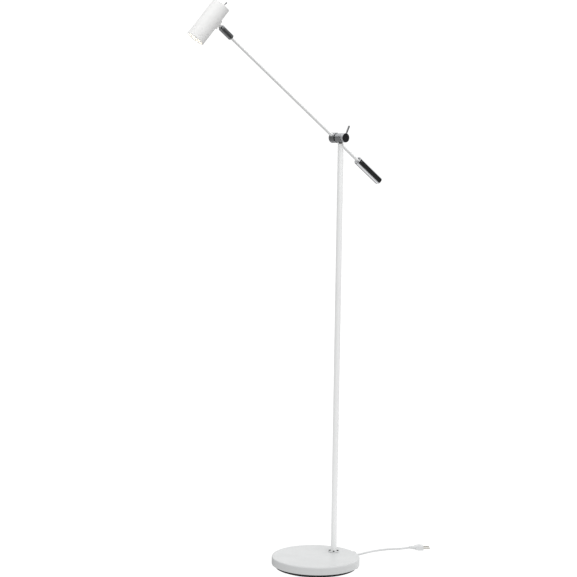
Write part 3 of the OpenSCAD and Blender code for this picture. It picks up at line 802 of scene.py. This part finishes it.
class FLOORLAMP_OT_mains_cord(bpy.types.Operator):
    """Lay the mains cord from the base through its hank to the plug"""

    bl_idname = "floorlamp.mains_cord"
    bl_label = "Mains cord"

    def execute(self, context):
        settings = context.scene.lamp_cord
        data = bpy.data.curves.new("mains_cord", "CURVE")
        data.dimensions = "3D"
        data.bevel_depth = settings.diameter / 2
        data.bevel_resolution = 5
        data.use_fill_caps = True
        line = [Vector(p) * MM for p in (*LEAD_IN, *hank_line(settings.turns), *RUN)]
        spline = data.splines.new("BEZIER")
        spline.resolution_u = 6
        spline.bezier_points.add(len(line) - 1)
        for point, place in zip(spline.bezier_points, line):
            point.co = place
            point.handle_left_type = point.handle_right_type = "AUTO"
        cord = object_of("mains_cord", data)
        data.materials.append(FINISHES["cord_white"])
        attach(cord, "stand")
        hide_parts("cord_lead_in", "cord_hank", "cord_run")
        self.plug()
        self.tie()
        return {"FINISHED"}

    def tie(self):
        """A flat band wound once round the hank, with its end tucked over itself."""
        wide, tall, thick = 63.6, 12.2, 0.7
        bm = soften(block((6, wide, tall), (0, 0, 6.4)), 2.6, 5)
        caps = [f for f in bm.faces if abs(f.normal.x) > 0.99]
        bmesh.ops.delete(bm, geom=caps, context="FACES_ONLY")
        bmesh.ops.recalc_face_normals(bm, faces=bm.faces)
        bmesh.ops.solidify(bm, geom=bm.faces, thickness=thick)
        tail = soften(block((6, 16, 0.8), (0.4, 9, tall + 0.5)), 0.3, 2)
        join(bm, tail, at=(Matrix.Translation((0, 0, 0.2)),))
        tail.free()
        hank = HANK.copy()
        hank.translation = hank.translation * MM
        return piece("hank_band", bm, hank, "stand", "tie_white", "tie_white", "cord_tie")

    def plug(self):
        """A two-pin plug: a rounded body with grip ribs and a stepped neck for the cord."""
        heading = math.radians(50)
        place = Matrix.Translation(Vector(RUN[-1]) * MM) @ Matrix.Rotation(heading, 4, "Z")
        place = place @ Matrix.Rotation(math.radians(90), 4, "Y")
        neck = lathe(
            [
                (2.9, 0),
                (3.8, 0),
                (4.1, 0.4),
                (4.3, 3.0),
                (3.9, 3.2),
                (4.0, 4.2),
                (4.5, 4.4),
                (4.8, 7.2),
                (4.3, 7.4),
                (4.4, 8.4),
                (5.0, 8.6),
                (5.4, 11.6),
                (4.9, 11.8),
                (5.0, 12.8),
                (5.7, 13.0),
                (6.0, 17.5),
                (2.9, 17.5),
                (2.9, 0),
            ],
            40,
        )
        bm = block((14, 25, 24), (0, 0, 28))
        bmesh.ops.scale(bm, vec=(0.92, 0.78, 1), verts=[v for v in bm.verts if v.co.z < 20])
        soften(bm, 2.6, 4)
        rib = soften(block((14.6, 1.2, 9), (0, 0, 29)), 0.4, 2)
        bmesh.ops.scale(rib, vec=(0.97, 1, 1), verts=rib.verts)
        join(
            bm,
            rib,
            at=[Matrix.Translation((0, side * step, 0)) for side in (-1, 1) for step in (3, 6, 9)],
        )
        join(bm, neck)
        rib.free()
        neck.free()
        return piece("mains_plug", bm, place, "stand", "plug_white", "plug_white", "plug_body")


class FLOORLAMP_OT_joint(bpy.types.Operator):
    """Turn the knurled hub, the clamp knob with its cap, and the clamp lever"""

    bl_idname = "floorlamp.joint"
    bl_label = "Hub and clamp knob"

    def execute(self, context):
        self.hub()
        self.drum()
        self.knob()
        self.lever()
        return {"FINISHED"}

    def hub(self):
        """Six knurled bands between five round-bottomed grooves."""
        left, right, radius, depth = -35.0, -15.4, 14.4, 0.9
        pitch = (right - left) / 6
        profile = [
            (0, left), (radius - 1.1, left), (radius - 0.35, left + 0.25), (radius, left + 0.8)
        ]
        bands = []
        for number in range(6):
            low, high = left + number * pitch, left + (number + 1) * pitch
            start = low + 0.7 if number else left + 0.8
            stop = high - 0.7 if number < 5 else right - 0.8
            if number:
                profile.append((radius, start))
            bands.append((start, stop))
            profile.append((radius, stop))
            if number < 5:
                profile += [
                    (radius - 0.65 * depth, high - 0.48),
                    (radius - depth, high),
                    (radius - 0.65 * depth, high + 0.48),
                ]
        profile += [(radius - 0.35, right - 0.25), (radius - 1.1, right), (0, right)]
        bm = lathe(profile, 60)
        knurl(bm, lambda z: any(low < z < high for low, high in bands), radius - 0.1, 0.22, 0.16)
        piece("tilt_hub", bm, STUD, "arm", "chrome", "chrome", "arm_hub")

    def drum(self):
        """A knurled sleeve round the drum on the pole's neck."""
        left, right, radius = -12.3, 9.3, 12.9
        profile = [
            (12.3, left), (radius - 0.2, left), (radius, left + 0.4), (radius, left + 1.0),
            (radius, right - 1.0),
            (radius, right - 0.4), (radius - 0.2, right), (12.3, right),
        ]
        for number in range(1, 7):
            profile.insert(3 + number, (radius, left + 1.0 + (right - left - 2.0) * number / 7))
        bm = lathe([*profile, profile[0]], 60)
        knurl(bm, lambda z: left + 1.0 < z < right - 1.0, radius - 0.1, 0.2, 0.16)
        piece("drum_sleeve", bm, STUD, "yoke_body", "chrome", "chrome")

    def knob(self):
        """A coin-edged knob between two plain rims, with a dished cap."""
        left, right, radius = 11.2, 19.4, 13.25
        profile = [
            (4.1, left), (radius - 0.9, left), (radius - 0.25, left + 0.25), (radius, left + 0.8),
            (radius, left + 1.3), (radius - 0.35, left + 1.6), (radius - 0.3, right - 2.0),
            (radius, right - 1.7), (radius, right - 0.7), (radius - 0.25, right - 0.2),
            (radius - 0.9, right),
            (4.1, right),
        ]
        bm = lathe([*profile, profile[0]], 72)
        knurl(bm, lambda z: left + 1.6 < z < right - 2.0, radius - 0.7, 0.16, 0.3)
        piece("clamp_grip", bm, STUD, "clamp", "satin_knob_painted_light", "chrome", "clamp_knob")
        cap_r = radius - 0.4
        cap = lathe([
            (0, right), (cap_r, right), (cap_r, right + 1.0), (cap_r - 0.3, right + 1.7),
            (cap_r - 1.0, right + 2.0),
            (cap_r - 2.2, right + 1.95), (cap_r - 2.7, right + 1.5), (cap_r - 3.4, right + 1.35),
            (0, right + 1.2),
        ])
        piece("clamp_face", cap, STUD, "clamp", "black_plastic", "black_plastic", "knob_cap")

    def lever(self):
        """A tapered rod with a swelled, rounded end."""
        knob_middle, lean, end = 15.3, math.radians(-27), 38.25
        place = STUD @ Matrix.Translation((0, 0, knob_middle * MM)) @ Matrix.Rotation(lean, 4, "Z")
        place = place @ Matrix.Rotation(math.radians(90), 4, "Y")
        bm = lathe([
            (0, 7), (2.5, 7), (2.5, 13.4), (2.2, 14.2), (2.2, 15.0), (2.4, 16.0), (2.55, 26),
            (2.7, end - 5), (2.75, end - 3),
            (2.6, end - 1.5), (2.1, end - 0.5), (1.2, end - 0.08), (0, end),
        ], 48)
        piece("clamp_bar", bm, place, "clamp", "lever_chrome", "chrome", "clamp_lever")


class FLOORLAMP_OT_arm_ends(bpy.types.Operator):
    """Turn the counterweight and the swivel barrel at the arm's two ends"""

    bl_idname = "floorlamp.arm_ends"
    bl_label = "Counterweight and swivel barrel"

    def execute(self, context):
        near, far, radius = -114.0, -221.0, 11.5
        bm = lathe([
            (4.6, near - 3), (6.4, near - 3), (6.6, near - 0.5), (7.1, near), (radius - 1.0, near),
            (radius - 0.3, near - 0.3),
            (radius, near - 1.0), (radius, near - 6.0), (radius - 0.3, near - 6.25),
            (radius - 0.3, near - 6.75),
            (radius, near - 7.0), (radius, far + 1.0), (radius - 0.3, far + 0.3),
            (radius - 1.0, far),
            (3.0, far), (2.6, far + 0.6), (0, far + 0.6), (0, near - 40), (4.6, near - 40),
            (4.6, near - 3),
        ])
        piece("balance_weight", bm, ARM, "arm", "chrome_arm", "chrome", "counterweight")
        start, end, outer = 466.0, 508.0, 8.5
        bm = lathe([
            (4.8, start + 4), (4.8, start + 0.6), (5.3, start), (outer - 0.9, start),
            (outer - 0.2, start + 0.3), (outer, start + 0.9),
            (outer, start + 4.5), (outer - 0.45, start + 4.8), (outer - 0.45, start + 5.6),
            (outer, start + 5.9),
            (outer, end - 4.0), (outer - 0.45, end - 3.7), (outer - 0.45, end - 2.9),
            (outer, end - 2.6),
            (outer, end - 0.9), (outer - 0.2, end - 0.3), (outer - 0.9, end), (5.05, end),
            (5.05, end - 16), (4.8, end - 16), (4.8, start + 4),
        ])
        piece("swivel_sleeve", bm, ARM, "swivel", "satin_barrel", "chrome", "swivel_barrel")
        return {"FINISHED"}


class FLOORLAMP_OT_head(bpy.types.Operator):
    """Spin the shade, its cap, the reflector and the lit capsule lamp, and turn the switch's lever"""

    bl_idname = "floorlamp.head"
    bl_label = "Spot head"

    def execute(self, context):
        mouth, seam, top, radius = -69.0, 41.0, 44.0, 25.0
        tube = lathe([
            (radius, seam), (radius, mouth + 2.2), (radius - 0.1, mouth + 1.0),
            (radius - 0.35, mouth + 0.35), (radius - 0.9, mouth),
            (radius - 1.5, mouth + 0.3), (radius - 1.7, mouth + 1.0), (radius - 1.45, mouth + 1.7),
            (radius - 1.05, mouth + 2.0),
            (radius - 1.0, mouth + 3.0), (radius - 1.0, seam), (radius, seam),
        ], 128)
        piece("shade_shell", tube, SHADE, "head", "shade_white", "shade_white", "shade_tube")
        cap = lathe([
            (0, seam - 2), (radius - 1.05, seam - 2), (radius - 1.05, seam + 0.05),
            (radius - 0.35, seam + 0.05), (radius - 0.35, seam + 0.4),
            (radius, seam + 0.45), (radius, top - 1.3), (radius - 0.12, top - 0.75),
            (radius - 0.4, top - 0.35), (radius - 0.8, top - 0.1),
            (radius - 1.35, top), (radius - 3.0, top), (radius - 3.25, top - 0.25),
            (radius - 3.9, top - 0.25), (radius - 4.15, top),
            (0, top),
        ], 128)
        piece("shade_end", cap, SHADE, "head", "shade_white", "shade_white", "rear_cap")
        steps, neck, wall_in, gap, sheet = 14, 11, 24, 0.4, 0.8
        bowl = []
        for number in range(steps + 1):
            turn = math.radians(90 * number / steps)
            flare = neck + (wall_in - gap - sheet - neck) * math.sin(turn) + 0.1
            depth = 1 - 28 * (1 - math.cos(turn))
            bowl.append((flare, depth))
            if 0 < number < steps:
                bowl.append((flare + 0.2, depth - 0.2))
        bowl += [(r + 0.75, z) for r, z in reversed(bowl)]
        # The reflector's finish has a painted glow standing in for the lamp's light
        piece(
            "spun_reflector",
            lathe([*bowl, bowl[0]], 96),
            SHADE,
            "head",
            "reflector",
            "reflector",
            "reflector",
        )
        capsule = lathe([
            (0, -26.4), (0.8, -26.2), (1.2, -25.6), (1.6, -25.2), (3.6, -24.6), (5.2, -23.2),
            (6.2, -21.4), (6.5, -19.5),
            (6.5, 4.5), (6.2, 6.2), (5.4, 7.4), (4.6, 8.0), (0, 8.0),
        ], 64)
        piece("lit_capsule", capsule, SHADE, "head", "bulb_glass", "bulb_glass", "lamp_bulb")
        toggle, lean = JOINTS["switch_toggle"], math.radians(10)
        place = frame_at(toggle["pos_m"], JOINTS["head_tilt"]["axis"], toggle["axis"])
        place = place @ Matrix.Rotation(lean, 4, "Y")
        bat = lathe([
            (0, -1.3), (0.9, -0.95), (1.3, 0), (1.1, 0.9), (1.0, 1.6), (1.15, 4.0), (1.45, 8.0),
            (1.65, 11.0), (1.6, 12.0),
            (1.3, 12.8), (0.8, 13.25), (0, 13.4),
        ], 32)
        piece("toggle_bat", bat, place, "switch", "lever_chrome", "chrome", "switch_lever")
        return {"FINISHED"}


class FLOORLAMP_OT_foot(bpy.types.Operator):
    """Make the flange's socket screws and the ribbed boot where the cord leaves the base"""

    bl_idname = "floorlamp.foot"
    bl_label = "Screws and cord boot"

    def execute(self, context):
        screw = lathe([
            (0, 17), (1.5, 17), (1.5, 35), (2.5, 35), (2.7, 35.25), (2.7, 36.4), (2.5, 36.85),
            (1.9, 37), (1.35, 36.9),
            (1.3, 36.0), (0, 35.7),
        ], 24)
        screw_circle = 11.5
        screws = join(bmesh.new(), screw, at=around(4, screw_circle, math.radians(45)))
        screw.free()
        piece("flange_bolts", screws, POLE, "stand", "dark_screw", "chrome", "flange_screws")
        boot_at = frame_at((0, 0.125, 0.014), (1, 0, 0), (0, 0, -1))
        length, thick, thin, bore = 24.0, 5.4, 3.7, 2.9
        profile = [
            (bore, -2),
            (bore + 2.3, -2),
            (bore + 2.3, 0.05),
            (thick, 0.05),
            (thick, 1.7),
            (thick - 0.3, 2.05),
        ]
        ribs = 6
        for number in range(ribs):
            low = 2.6 + (length - 3.4) * number / ribs
            share = (low + 1.2) / length
            outer = (thick - 0.6) * (1 - share) + thin * share
            profile += [
                (outer - 0.55, low),
                (outer - 0.55, low + 0.9),
                (outer, low + 1.3),
                (outer, low + 2.5),
                (outer - 0.3, low + 2.9),
            ]
        profile += [(thin, length - 0.6), (thin - 0.25, length), (bore, length), (bore, -2)]
        piece(
            "cord_boot",
            lathe(profile, 48),
            boot_at,
            "stand",
            "cord_white",
            "cord_white",
            "strain_relief",
        )
        return {"FINISHED"}


class FLOORLAMP_OT_saddle(bpy.types.Operator):
    """Round the edges of the saddle that carries the shade"""

    bl_idname = "floorlamp.saddle"
    bl_label = "Saddle"

    def execute(self, context):
        piece(
            "shade_saddle",
            softened("saddle", 0.5),
            HERE,
            "head",
            "shade_white",
            "shade_white",
            "saddle",
        )
        return {"FINISHED"}


def softened(name, width):
    """A copy of a CAD node's shape in millimetres, with its edges rounded."""
    bm = bmesh.new()
    bm.from_mesh(frame["nodes"][name].data)
    bmesh.ops.transform(bm, matrix=Matrix.Scale(1 / MM, 4), verts=bm.verts)
    bmesh.ops.remove_doubles(bm, verts=bm.verts, dist=0.002)
    bmesh.ops.dissolve_limit(bm, angle_limit=math.radians(0.5), verts=bm.verts, edges=bm.edges)
    return soften(bm, width, 2, 35.0)


class FLOORLAMP_OT_cad_finishes(bpy.types.Operator):
    """Give every piece of the frame its finish"""

    bl_idname = "floorlamp.cad_finishes"
    bl_label = "Frame finishes"

    def execute(self, context):
        slots = {part["node"]: part["material_slot"] for part in frame["record"]["subparts"]}
        for node_name, node in frame["nodes"].items():
            give(node, FINISH_OF.get(node_name, slots[node_name]))
        return {"FINISHED"}


class FLOORLAMP_OT_studio(bpy.types.Operator):
    """Set up the pale floor, the soft light and the dark screens that the chrome shows"""

    bl_idname = "floorlamp.studio"
    bl_label = "Studio"

    def execute(self, context):
        studio = context.scene.lamp_studio
        self.walls(context, studio)
        self.floor(context, studio)
        self.lights(context, studio)
        self.screens(context)
        view = context.scene.view_settings
        view.view_transform = "Standard"
        view.look = "None"
        return {"FINISHED"}

    def walls(self, context, studio):
        """A white backdrop behind the lamp and a soft ceiling, in a room that is otherwise dark."""
        world = bpy.data.worlds.new("walls")
        context.scene.world = world
        world.use_nodes = True
        tree = world.node_tree
        shine = tree.nodes["Background"]
        way = add(tree, "ShaderNodeTexCoord").outputs["Generated"]
        parts = split(tree, way)
        turn = studio.azimuth
        ahead = vector_calc(tree, "DOT_PRODUCT", way, (-math.sin(turn), math.cos(turn), 0))
        across = vector_calc(tree, "DOT_PRODUCT", way, (math.cos(turn), math.sin(turn), 0))
        backdrop = spread(tree, ahead, 0.5, 0.72)
        ceiling = spread(tree, parts["Z"], 0.42, 0.75, 0.0, 0.7)
        right = spread(tree, parts["X"], 0.3, 0.7, 0.055, 0.16)
        mirrored = calc(tree, "MAXIMUM", right, calc(tree, "MAXIMUM", backdrop, ceiling))
        rise = spread(tree, parts["Z"], -0.1, 0.9, studio.fill * 0.86, studio.fill * 1.14)
        lit = calc(tree, "MULTIPLY", rise, spread(tree, across, -0.8, 0.8, 0.92, 1.22))
        feed(tree, shine, "Strength", by_ray(tree, lit, mirrored))
        shine.inputs["Color"].default_value = (1, 1, 1, 1)

    def floor(self, context, studio):
        """A wide pale floor, white where it is seen; polished metal sees its lit and dark parts."""
        bm = bmesh.new()
        bmesh.ops.create_circle(bm, cap_ends=True, segments=96, radius=30.0)
        floor = object_of("studio_floor", mesh_of("studio_floor", bm))
        material, tree, shader, where = finish(
            "studio_floor", Roughness=0.9, Specular_IOR_Level=0.0
        )
        shader.inputs["Base Color"].default_value = (0.03, 0.03, 0.03, 1)
        shader.inputs["Emission Color"].default_value = (1, 1, 1, 1)
        parts = split(tree, where)
        x, y = parts["X"], parts["Y"]
        strip = calc(tree, "MULTIPLY", spread(tree, x, -0.95, -0.75), spread(tree, x, 0.3, 0.22))
        strip = calc(tree, "MULTIPLY", strip, spread(tree, y, -0.1, 0.15))
        seam = calc(tree, "MULTIPLY", spread(tree, x, -0.2, -0.14), spread(tree, x, 0.06, 0.0))
        strip = calc(tree, "SUBTRACT", strip, calc(tree, "MULTIPLY", seam, 0.62))
        mirrored = calc(tree, "MAXIMUM", strip, spread(tree, x, 0.3, 0.22, 0.03, 0.2))
        near, far = studio.bounce, studio.bounce * 0.38
        lit = spread(tree, vector_calc(tree, "LENGTH", where), 0.4, 1.6, near, far)
        feed(tree, shader, "Emission Strength", by_ray(tree, lit, mirrored))
        floor.data.materials.append(material)

    def lights(self, context, studio):
        """A softbox above and to the right of the lamp's head."""
        data = bpy.data.lights.new("softbox", "AREA")
        data.energy = studio.key
        data.shape = "DISK"
        data.size = 1.6
        light = object_of("softbox", data)
        at = Vector((0.75, -0.3, 2.6))
        light.location = at
        light.rotation_euler = (Vector((0, -0.1, 1.0)) - at).to_track_quat("-Z", "Y").to_euler()
        light.visible_glossy = False

    def screens(self, context):
        """A dark curved screen beside the counterweight that only the polished metal shows."""
        material, _, shader, _ = finish("screen_black", Roughness=1.0, Specular_IOR_Level=0.0)
        shader.inputs["Base Color"].default_value = (0.004, 0.004, 0.004, 1)
        shader.inputs["Emission Color"].default_value = (1, 1, 1, 1)
        shader.inputs["Emission Strength"].default_value = 0.024
        bm = bmesh.new()
        foot = bm.verts.new((0.62, 0, 0.35))
        head = bm.verts.new((0.62, 0, 1.42))
        edge = bm.edges.new((foot, head))
        bmesh.ops.rotate(
            bm, verts=bm.verts, cent=(0, 0, 0), matrix=Matrix.Rotation(math.radians(-5), 3, "Z")
        )
        bmesh.ops.spin(
            bm,
            geom=[foot, head, edge],
            cent=(0, 0, 0),
            axis=(0, 0, 1),
            dvec=(0, 0, 0),
            angle=math.radians(88),
            steps=16,
        )
        bmesh.ops.translate(bm, verts=bm.verts, vec=(-0.026, 0.21, 0))
        screen = object_of("screen_black", mesh_of("screen_black", bm))
        screen.data.materials.append(material)
        for ray in ("camera", "diffuse", "shadow", "transmission"):
            setattr(screen, f"visible_{ray}", False)


class FLOORLAMP_PT_panel(bpy.types.Panel):
    """The lamp's pieces and settings"""

    bl_label = "Floor Lamp"
    bl_idname = "FLOORLAMP_PT_panel"
    bl_space_type = "VIEW_3D"
    bl_region_type = "UI"
    bl_category = "Floor Lamp"

    def draw(self, context):
        for cls in OPERATORS:
            self.layout.operator(cls.bl_idname)
        for group in GROUPS_OF_SETTINGS:
            settings = getattr(context.scene, group, None)
            for prop in settings.bl_rna.properties if settings else ():
                if prop.identifier not in ("rna_type", "name"):
                    self.layout.prop(settings, prop.identifier)


OPERATORS = (
    FLOORLAMP_OT_camera,
    FLOORLAMP_OT_mains_cord,
    FLOORLAMP_OT_cad_finishes,
    FLOORLAMP_OT_joint,
    FLOORLAMP_OT_arm_ends,
    FLOORLAMP_OT_head,
    FLOORLAMP_OT_foot,
    FLOORLAMP_OT_saddle,
    FLOORLAMP_OT_studio,
)
GROUPS_OF_SETTINGS = {
    "lamp_colours": LampColours,
    "lamp_cord": CordSettings,
    "lamp_studio": StudioSettings,
}


def register():
    """Registers the settings, operators and panel."""
    for name, cls in GROUPS_OF_SETTINGS.items():
        bpy.utils.register_class(cls)
        setattr(bpy.types.Scene, name, PointerProperty(type=cls))
    for cls in (*OPERATORS, FLOORLAMP_PT_panel):
        bpy.utils.register_class(cls)


def unregister():
    """Takes the settings, operators and panel away again."""
    for cls in (FLOORLAMP_PT_panel, *reversed(OPERATORS)):
        bpy.utils.unregister_class(cls)
    for name, cls in GROUPS_OF_SETTINGS.items():
        delattr(bpy.types.Scene, name)
        bpy.utils.unregister_class(cls)


def main():
    """Makes the whole lamp."""
    register()
    FINISHES.update(make_finishes(bpy.context.scene.lamp_colours))
    for cls in OPERATORS:
        group, call = cls.bl_idname.split(".")
        getattr(getattr(bpy.ops, group), call)()


if __name__ == "__main__":
    main()
